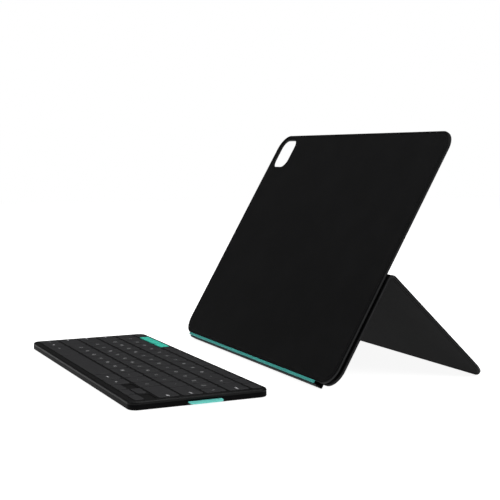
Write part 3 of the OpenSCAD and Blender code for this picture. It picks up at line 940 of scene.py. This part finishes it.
    def _fold(self) -> None:
        """The bend above the kickstand: lining inside, skin outside and the strip between them."""
        centre, radius, first, turn = self._bend_frame()
        half = self.sheet.thickness / 2
        r = self.sheet.edge_round
        width = self.width / 2
        outer = [(r - width - r * math.cos(a), half - r + r * math.sin(a)) for a in quarter_turn(5)]
        bulge = [(-width, 0.0), (-width, (half - r) / 2)] + outer
        profile = bulge + [(-x, y) for x, y in bulge[::-1]]
        inner = [(x, -y) for x, y in profile]
        reach, thin = width - self.sheet.edge, self.strip_half
        strip = [(-reach, -thin), (reach, -thin), (reach, thin), (-reach, thin)]
        start = centre + Vector((0, math.cos(first), math.sin(first))) * radius
        end = centre + Vector((0, math.cos(first + turn), math.sin(first + turn))) * radius
        parts = (("fold_skin_bend", profile, "black_skin", "fold_outer_skin"),
                 ("fold_lining_bend", inner, "black_lining", "fold_lining"),
                 ("fold_flex_strip", strip, "hinge_strip", "fold_strip"))
        for name, cross, slot, node in parts:
            self._bend(name, cross, slot, node, (centre, radius, first, turn), start, end)

    def _bend(self, name: str, cross: Sequence[Point2], slot: str, node: str,
              arc: tuple[Vector, float, float, float], start: Vector, end: Vector) -> None:
        """Sweeps a cross-section round the bend.

        Args:
            name: the piece's name.
            cross: closed loop of sideways place and height above the bend's centre line.
            slot: its material slot.
            node: the CAD node it stands for.
            arc: the bend's centre, radius, first angle and turn.
            start: where the cover ends.
            end: where the flap starts.
        """
        centre, radius, first, turn = arc
        shape = Shape(row_point)
        rings = []
        for k in range(self.bend_steps + 1):
            a = first + turn * k / self.bend_steps
            rings.append([(x, centre.y + (radius + h) * math.cos(a), centre.z + (radius + h) * math.sin(a))
                          for x, h in cross])
        shape.solid(rings)
        piece = shape.finish(name, 50)
        half, side = self.sheet.thickness / 2, self.width / 2 - self.sheet.edge
        # The share of the sheet's middle, which places the painted highlight on the bend's side edges.
        mark_middle(piece, lambda p: (abs(p.x) > side) * (
            1 - abs(math.hypot(p.y - centre.y, p.z - centre.z) - radius) / half))
        bend_between(piece, ("cover", "flap"), slot, (node,), start, end)
        if slot != "hinge_strip":
            piece.data.materials.append(WARDROBE.get(FINISHES["sealed_edge"]))
            for face in piece.data.polygons:
                face.material_index = int(abs(face.center.x) > side)

    def _spine(self) -> None:
        """The spine hung under the sheets: a teal band in front that turns under, and a black band behind."""
        t, r, grip = self.sheet.thickness, self.spine_round, self.spine_grip
        face = t / 2
        rear = -face - self.cover_gap - t
        drop, wall = self.spine_drop, self.spine_wall
        length = self.width - 2 * self.sheet.corner - 2 * self.spine_end_gap
        bead_low, bead = -self.teal_height, self.bead
        middle, half = (grip + bead_low) / 2, (grip - bead_low) / 2
        foot = face - bead * self.bead_seat
        half_turn = [math.radians(180 * k / 12) for k in range(13)]
        hump = [(middle + half * math.cos(a), foot + bead * math.sin(a)) for a in half_turn]
        inner = [(bead_low, face - wall), (grip, face - wall)]
        teal_reach = (-length / 2 - self.teal_offset, length / 2 - self.teal_offset)
        self._band("spine_teal_band", hump + inner, teal_reach, "teal_lining",
                   ("spine_front_web", "spine_lining"), ("panel", "spine"), (bead_low * 0.5, face),
                   (bead_low - self.teal_fold_past, face))
        under = [(bead_low, face - wall), (bead_low, foot)]
        front = [(r - drop - r * math.sin(a), foot - r + r * math.cos(a)) for a in quarter_turn(8)]
        back = [(r - drop - r * math.cos(a), rear + r - r * math.sin(a)) for a in quarter_turn(8)]
        inside = [(grip, rear), (grip, rear + wall), (r - drop, rear + wall), (wall - drop, rear + r),
                  (wall - drop, face - r - wall)]
        self._band("spine_black_band", under + front + back + inside, (-length / 2, length / 2), "black_skin",
                   ("spine_skin", "spine_rear_web"), ("spine", "cover"), (-drop, rear + self.rear_fold_depth),
                   (-self.rear_fold_drop, rear))

    def _band(self, name: str, section: Sequence[Point2], reach: Point2, slot: str, nodes: Sequence[str],
              bodies: tuple[str, str], start: Point2, end: Point2) -> None:
        """One band of the spine, lying between two bodies at its fold.

        Args:
            name: the piece's name.
            section: closed loop of height up the panel and depth from the panel's middle.
            reach: where its two ends lie.
            slot: its material slot.
            nodes: the CAD nodes it stands for.
            bodies: the two bodies that it joins.
            start: where it stops following the first body.
            end: where it starts following the second.
        """
        steps, ease, ends = self.band_steps, self.band_ease, self.band_ends
        middle = (sum(p[0] for p in section) / len(section), sum(p[1] for p in section) / len(section))
        at = self.panel_flat.at
        shape = Shape(at)
        rings = []
        left, right = reach
        start_ends = [(left + ease * part, share) for part, share in ends]
        far_ends = [(right - ease * part, share) for part, share in ends[::-1]]
        middles = [(left + ease + (right - left - 2 * ease) * k / steps, 1.0) for k in range(steps + 1)]
        for x, share in start_ends + middles + far_ends:
            rings.append([(x, middle[0] + (v - middle[0]) * share, middle[1] + (n - middle[1]) * share)
                          for v, n in section])
        shape.solid(rings)
        bend_between(shape.finish(name, 50), bodies, slot, nodes, at(0, *start), at(0, *end))


# ---- The keyboard ----


@dataclass(frozen=True)
class KeyRows:
    """Where every key lies, seen from above the keyboard."""

    pitch: float = 18.8 * MM
    row_pitch: float = 18 * MM
    top_pitch: float = 10.4 * MM
    gap: float = 1.7 * MM
    half_gap: float = 0.9 * MM
    back_margin: float = 3.6 * MM
    corner: float = 1.4 * MM
    depth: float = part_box("keyboard_top_frame")[1].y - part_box("keyboard_top_frame")[0].y
    units: float = 14
    widths: tuple[tuple[float, ...], ...] = (
        (1,) * 14,
        (0.7,) + (1,) * 12 + (1.3,),
        (1.2,) + (1,) * 12 + (0.8,),
        (1.45,) + (1,) * 11 + (1.55,),
        (1.97,) + (1,) * 10 + (2.03,),
        (0.75, 1, 1, 1.35, 4.8, 1.15, 1.01, 0.98, 0.98, 0.98),
    )

    def cap(self, row: int, place: int, half: int = 0) -> Outline:
        """A key cap's outline.

        Args:
            row: the row, 0 at the back.
            place: the key's place in its row.
            half: 1 for the back half key of a pair, -1 for the front one and 0 for a full key.

        Returns:
            The outline, in the keyboard's own frame.
        """
        widths = self.widths[row]
        left = (sum(widths[:place]) - self.units / 2) * self.pitch + self.gap / 2
        right = left + widths[place] * self.pitch - self.gap
        deep = (self.top_pitch if row == 0 else self.row_pitch) - self.gap
        back = self.depth / 2 - self.back_margin
        if row > 0:
            back -= self.top_pitch + (row - 1) * self.row_pitch
        half_deep = (self.row_pitch - self.gap - self.half_gap) / 2
        low, high = back - deep, back
        if half == 1:
            low = high - half_deep
        elif half == -1:
            high = low + half_deep
        return round_box(left, right, low, high, self.corner, 5)


KeyPlace = tuple[int, int, int]
ROWS = KeyRows()


def run(row: int, first: int, last: int) -> list[KeyPlace]:
    """The full keys of a row from one place to another, both included."""
    return [(row, i, 0) for i in range(first, last + 1)]


KEYS: dict[str, list[KeyPlace]] = {
    "device_key_1": run(0, 1, 1),
    "device_key_2": run(0, 2, 2),
    "device_key_3": run(0, 3, 3),
    "function_keys": run(0, 0, 0) + run(0, 4, 13),
    "number_keys": run(1, 0, 12),
    "backspace_key": run(1, 13, 13),
    "tab_key": run(2, 0, 0),
    "upper_letter_keys": run(2, 1, 13),
    "caps_lock_key": run(3, 0, 0),
    "home_letter_keys": run(3, 1, 11),
    "enter_key": run(3, 12, 12),
    "left_shift_key": run(4, 0, 0),
    "lower_letter_keys": run(4, 1, 10),
    "right_shift_key": run(4, 11, 11),
    "left_modifier_keys": run(5, 0, 3),
    "space_bar": run(5, 4, 4),
    "right_command_key": run(5, 5, 5),
    "right_modifier_key": run(5, 6, 6),
    "left_arrow_key": [(5, 7, -1)],
    "up_arrow_key": [(5, 8, 1)],
    "down_arrow_key": [(5, 8, -1)],
    "right_arrow_key": [(5, 9, -1)],
}
EMPTY_RECESSES: list[KeyPlace] = [(5, 7, 1), (5, 9, 1)]


class Side(Enum):
    """Where a legend sits on its cap."""

    MIDDLE = 0
    LEFT = -1
    RIGHT = 1


LETTER_SIZE = 3.5 * MM
WORD_SIZE = 2.5 * MM
LETTER_WEIGHT = 0.035


@dataclass(frozen=True)
class Legend:
    """What is printed on a cap."""

    text: str
    side: Side = Side.MIDDLE
    size: float = LETTER_SIZE


def letters(text: str) -> list[Legend]:
    """One legend for each letter."""
    return [Legend(t) for t in text]


def words(*texts: str, side: Side = Side.MIDDLE) -> list[Legend]:
    """Legends for keys with a word on them."""
    return [Legend(t, side, WORD_SIZE) for t in texts]


LEGENDS: dict[str, list[Legend]] = {
    "device_key_1": words("1"),
    "device_key_2": words("2"),
    "device_key_3": words("3"),
    "function_keys": words("esc", "F1", "F2", "F3", "F4", "F5", "F6", "F7", "F8", "F9", "F10"),
    "number_keys": letters("`1234567890-="),
    "backspace_key": words("delete", side=Side.RIGHT),
    "tab_key": words("tab", side=Side.LEFT),
    "upper_letter_keys": letters("QWERTYUIOP[]\\"),
    "caps_lock_key": words("caps", side=Side.LEFT),
    "home_letter_keys": letters("ASDFGHJKL;'"),
    "enter_key": words("enter", side=Side.RIGHT),
    "left_shift_key": words("shift", side=Side.LEFT),
    "lower_letter_keys": letters("ZXCVBNM,./"),
    "right_shift_key": words("shift", side=Side.RIGHT),
    "left_modifier_keys": words("fn", "ctrl", "alt", "cmd"),
    "right_command_key": words("cmd"),
    "right_modifier_key": words("alt"),
    "left_arrow_key": words("<"),
    "up_arrow_key": words("^"),
    "down_arrow_key": words("v"),
    "right_arrow_key": words(">"),
}


@dataclass
class KeyCaps:
    """The key caps: thin, with rounded shoulders and a shallow dish."""

    top: float
    thickness: float = 1.3 * MM
    shoulder: float = 0.35 * MM
    draft: float = 0.12 * MM
    dish: float = 0.14 * MM
    ink: float = 0.012 * MM
    margin: float = 1.9 * MM
    dish_rings: tuple[float, ...] = (0.25, 0.5, 0.75, 0.94)

    def build(self, flat: Flat) -> None:
        """Builds every key and its legends.

        Args:
            flat: the keyboard's own frame.
        """
        for node, places in KEYS.items():
            slot = "teal_key" if node.startswith("device") else "black_key"
            shape = Shape(flat.at)
            for place in places:
                self._cap(shape, ROWS.cap(*place))
            stand_for(shape.finish(node + "_caps", 55), node, slot, node)
            if node in LEGENDS:
                self._legends(flat, node, places, slot)

    def _dip(self, outline: Outline, x: float, y: float) -> float:
        """How far the dish lies below the cap's rim at a point."""
        half_x, half_y = (outline.right - outline.left) / 2, (outline.high - outline.low) / 2
        across = (x - outline.left - half_x) / half_x
        along = (y - outline.low - half_y) / half_y
        return self.dish * max(0.0, 1 - max(abs(across), abs(along)) ** 2)

    def _cap(self, shape: Shape, outline: Outline) -> None:
        """Adds one cap.

        Args:
            shape: the shape that collects the caps of one key node.
            outline: the cap's outline.
        """
        s, rim = self.shoulder, self.top
        rings = [outline.ring(0.0, rim - self.thickness)]
        for a in quarter_turn(4):
            rings.append(outline.ring(self.draft + s * (1 - math.cos(a)), rim - s + s * math.sin(a)))
        first = self.draft + s
        deepest = min(outline.right - outline.left, outline.high - outline.low) / 2
        for share in self.dish_rings:
            ring = outline.inset(first + (deepest - first) * share)
            rings.append([(x, y, rim - self._dip(outline, x, y)) for x, y in ring])
        shape.solid(rings)

    def _legends(self, flat: Flat, node: str, places: Sequence[KeyPlace], slot: str) -> None:
        """Prints a key node's legends as one thin piece.

        Args:
            flat: the keyboard's own frame.
            node: the key node.
            places: its keys.
            slot: the caps' material slot.
        """
        shape = Shape(flat.at)
        for place, legend in zip(places, LEGENDS[node]):
            outline = ROWS.cap(*place)
            points, faces = glyphs(legend.text, legend.size)
            middle_x, middle_y = (outline.left + outline.right) / 2, (outline.low + outline.high) / 2
            half = max(p[0] for p in points)
            reach = (outline.right - outline.left) / 2 - self.margin - half
            x0 = middle_x + legend.side.value * reach
            placed = [(x0 + x, middle_y + y) for x, y in points]
            start = len(shape.points)
            shape.ring([(x, y, self.top - self._dip(outline, x, y) + self.ink) for x, y in placed])
            shape.faces += [[start + i for i in f] for f in faces]
        piece = shape.finish(node + "_legends")
        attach(piece, node)
        WARDROBE.dress(piece, slot, DARK_INK if slot == "teal_key" else LEGEND_INK)


def glyphs(text: str, size: float) -> tuple[list[Point2], list[list[int]]]:
    """The flat outlines of a short text, filled.

    Args:
        text: what it says.
        size: the letters' size.

    Returns:
        Its points round its own middle, and its faces.
    """
    curve = bpy.data.curves.new("glyphs", "FONT")
    curve.body, curve.size = text, size
    curve.align_x, curve.align_y = "CENTER", "CENTER"
    curve.resolution_u = 3
    curve.offset = size * LETTER_WEIGHT
    holder = bpy.data.objects.new("glyphs", curve)
    bpy.context.scene.collection.objects.link(holder)
    mesh = bpy.data.meshes.new_from_object(holder.evaluated_get(bpy.context.evaluated_depsgraph_get()))
    points = [(v.co.x, v.co.y) for v in mesh.vertices]
    faces = [list(p.vertices) for p in mesh.polygons]
    bpy.data.objects.remove(holder)
    bpy.data.curves.remove(curve)
    bpy.data.meshes.remove(mesh)
    middle_x = (min(p[0] for p in points) + max(p[0] for p in points)) / 2
    return [(x - middle_x, y) for x, y in points], faces


@dataclass
class Keyboard:
    """The keyboard's case, its caps and its pull tab."""

    corner: float = 7 * MM
    web: float = 0.9 * MM
    wall: float = 1.4 * MM
    top_round: float = 1.5 * MM
    parting_groove: float = 0.16 * MM
    opening_clearance: float = 0.3 * MM
    opening_chamfer: float = 0.18 * MM
    rim_land: float = 0.2 * MM
    tab_length: float = 26 * MM
    tab_reach: float = 5.2 * MM
    tab_thickness: float = 0.9 * MM
    tab_corner: float = 3 * MM
    tab_round: float = 0.3 * MM
    tab_root_corner: float = 0.4 * MM
    tab_straight: float = 0.6
    tab_ridge: tuple[Point2, ...] = ((1.1 * MM, 0.0), (1.3 * MM, -0.1 * MM))
    width: float = field(init=False)
    depth: float = field(init=False)
    parting: float = field(init=False)
    top: float = field(init=False)
    flat: Flat = field(init=False)

    def __post_init__(self) -> None:
        """Finds the keyboard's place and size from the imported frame."""
        low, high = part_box("keyboard_top_frame")
        self.width, self.depth = high.x - low.x, high.y - low.y
        self.parting, self.top = low.z, high.z
        middle = Vector(((low.x + high.x) / 2, (low.y + high.y) / 2, 0))
        self.flat = Flat(middle, Vector((0, 1, 0)), Vector((0, 0, 1)))

    def build(self) -> None:
        """Builds every piece of the keyboard."""
        self._top_frame()
        self._pull_tab()
        shell = frame["nodes"]["keyboard_lower_shell"]
        # The lower shell takes the darker copy of the case plastic as painted shade.
        shell.data.materials[0] = WARDROBE.get(SHADED_UNDERSIDE)
        KeyCaps(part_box("space_bar")[1].z).build(self.flat)

    def _outline(self) -> Outline:
        """The case's outline, seen from above."""
        half_x, half_y = self.width / 2, self.depth / 2
        return round_box(-half_x, half_x, -half_y, half_y, self.corner, 14)

    def _openings(self) -> list[tuple[Outline, bool]]:
        """Every opening of the top frame, and whether it goes right through."""
        open_keys = [place for places in KEYS.values() for place in places]
        return [(ROWS.cap(*p), True) for p in open_keys] + [(ROWS.cap(*p), False) for p in EMPTY_RECESSES]

    def _top_frame(self) -> None:
        """The top frame: rounded shoulders and a web with a chamfered opening for each key."""
        shape = Shape(self.flat.at)
        outline = self._outline()
        r, g = self.top_round, self.parting_groove
        side = [(self.wall, self.parting), (g, self.parting), (0.0, self.parting + g)]
        side += [(r - r * math.cos(a), self.top - r + r * math.sin(a)) for a in quarter_turn(8)]
        side.append((r + self.rim_land, self.top))
        outer = shape.loft([outline.ring(d, z) for d, z in side])
        ceiling = self.top - self.web
        inner = shape.loft([outline.ring(self.wall, z) for z in (self.parting, ceiling)])
        top_loops, under_loops = [outer[-1]], [inner[-1]]
        c = self.opening_chamfer
        for cap, through in self._openings():
            floor = ceiling if through else self.top - self.web / 2
            steps = [(-c, self.top), (0.0, self.top - c), (0.0, floor)]
            rings = shape.loft([cap.ring(d - self.opening_clearance, z) for d, z in steps])
            top_loops.append(rings[0])
            if through:
                under_loops.append(rings[-1])
            else:
                shape.fill(rings[-1])
        shape.fill(*top_loops)
        shape.fill(*under_loops)
        stand_for(shape.finish("keyboard_top_shell", 40), "keyboard", "case_plastic", "keyboard_top_frame")

    def _pull_tab(self) -> None:
        """The teal tab: a soft rounded tongue that droops a little towards its end."""
        low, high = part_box("pull_tab")
        root = high.z
        side = self.flat.origin.x + self.width / 2
        middle = (low.y + high.y) / 2
        half, r, t = self.tab_length / 2, self.tab_corner, self.tab_thickness
        small, straight = self.tab_root_corner, self.tab_straight
        outline = Outline(-self.wall, self.tab_reach, -half, half, (small, r, r, small), steps=8)
        slope = (root - low.z - t) / self.tab_reach

        def place(x: float, y: float, z: float) -> Vector:
            """Lays a tab point on its drooping line."""
            out = max(x, 0.0)
            droop = slope * out * (straight + (1 - straight) * out / self.tab_reach)
            return Vector((side + x, middle + y, root + z - droop))

        e = self.tab_round
        upper = [(e - e * math.cos(a), -e + e * math.sin(a)) for a in quarter_turn(5)]
        lower = [(d, -t - z) for d, z in upper[::-1]]
        shape = Shape(place)
        shape.solid([outline.ring(d, z) for d, z in lower + upper + list(self.tab_ridge)])
        stand_for(shape.finish("keyboard_pull_tab", 50), "battery_drawer", "teal_tab", "pull_tab")


# ---- Studio ----


def aim(thing: bpy.types.Object, way: Vector) -> None:
    """Turns a camera or a lamp and links it to the scene.

    Args:
        thing: the camera or lamp.
        way: the direction that it looks in.
    """
    thing.rotation_mode = "QUATERNION"
    thing.rotation_quaternion = way.to_track_quat("-Z", "Y")
    bpy.context.scene.collection.objects.link(thing)


@dataclass
class Studio:
    """A pale floor, a pale sky, three soft lamps and the camera."""

    camera_from_face: Point3 = (0.831565, -0.445224, 0.075924)
    yaw: float = 64.6446
    dip: float = 5.0289
    focal_share: float = 2.17692
    sensor: float = 36.0
    floor_size: float = 6.0
    sky: float = 0.07
    backdrop: float = 1.0
    lamps: tuple[tuple[str, Point3, float, float], ...] = (
        ("key_lamp", (-0.6, -0.9, 1.3), 0.9, 3.0),
        ("side_lamp", (1.2, 0.5, 1.0), 0.8, 5.0),
        ("top_lamp", (0.1, 0.1, 1.7), 1.2, 14.0),
    )
    lamps_aim_at: Point3 = (0, 0, 0.08)
    paper_glow: float = 0.35
    paper_white: float = 0.92

    def build(self) -> None:
        """Sets the whole studio up."""
        self._camera()
        self._floor()
        self._light()

    def _camera(self) -> None:
        """The camera, looking a little down from the keyboard's right."""
        data = bpy.data.cameras.new("camera")
        data.sensor_width = self.sensor
        data.lens = self.sensor * self.focal_share
        data.clip_start, data.clip_end = 0.01, 50
        camera = bpy.data.objects.new("camera", data)
        camera.location = tablet_face()[0] + Vector(self.camera_from_face)
        yaw, dip = math.radians(self.yaw), math.radians(self.dip)
        look = Vector((-math.sin(yaw) * math.cos(dip), math.cos(yaw) * math.cos(dip), -math.sin(dip)))
        aim(camera, look)
        bpy.context.scene.camera = camera

    def _floor(self) -> None:
        """A wide pale floor."""
        shape = Shape(row_point)
        half = self.floor_size / 2
        shape.fill(shape.ring([(-half, -half, 0), (half, -half, 0), (half, half, 0), (-half, half, 0)]))
        floor = shape.finish("studio_floor")
        graph = Graph("studio_paper")
        graph.fixed(Base_Color=(0.86, 0.86, 0.86), Roughness=0.9, Specular_IOR_Level=0.0)
        seen = graph.add("ShaderNodeLightPath", {}, {}, "Is Camera Ray")
        glow = graph.mix(seen, (self.paper_glow,) * 3, (self.paper_white,) * 3)
        graph.varied("Emission Color", glow)
        graph.fixed(Emission_Strength=1.0)
        floor.data.materials.append(graph.material)

    def _light(self) -> None:
        """A white sky and three soft lamps."""
        world = bpy.data.worlds.new("sky")
        world.use_nodes = True
        background = world.node_tree.nodes["Background"]
        background.inputs["Color"].default_value = (1, 1, 1, 1)
        seen = world.node_tree.nodes.new("ShaderNodeLightPath")
        strength = world.node_tree.nodes.new("ShaderNodeMapRange")
        strength.inputs["To Min"].default_value = self.sky
        strength.inputs["To Max"].default_value = self.backdrop
        world.node_tree.links.new(seen.outputs["Is Camera Ray"], strength.inputs["Value"])
        world.node_tree.links.new(strength.outputs[0], background.inputs["Strength"])
        bpy.context.scene.world = world
        bpy.context.scene.view_settings.view_transform = "Standard"
        for name, at, size, power in self.lamps:
            lamp = bpy.data.lights.new(name, "AREA")
            lamp.size, lamp.energy = size, power
            holder = bpy.data.objects.new(name, lamp)
            holder.location = at
            aim(holder, Vector(self.lamps_aim_at) - Vector(at))


def dress_cad_nodes() -> None:
    """Gives every CAD node the finish of its material slot."""
    for part in frame["record"]["subparts"]:
        node = frame["nodes"][part["node"]]
        node.data.materials.clear()
        node.data.materials.append(WARDROBE.get(FINISHES[part["material_slot"]]))


def main() -> None:
    """Builds the scene in order."""
    logging.basicConfig(level=logging.INFO, format="%(message)s")
    Studio().build()
    dress_cad_nodes()
    Stand().build()
    Keyboard().build()


if __name__ == "__main__":
    main()
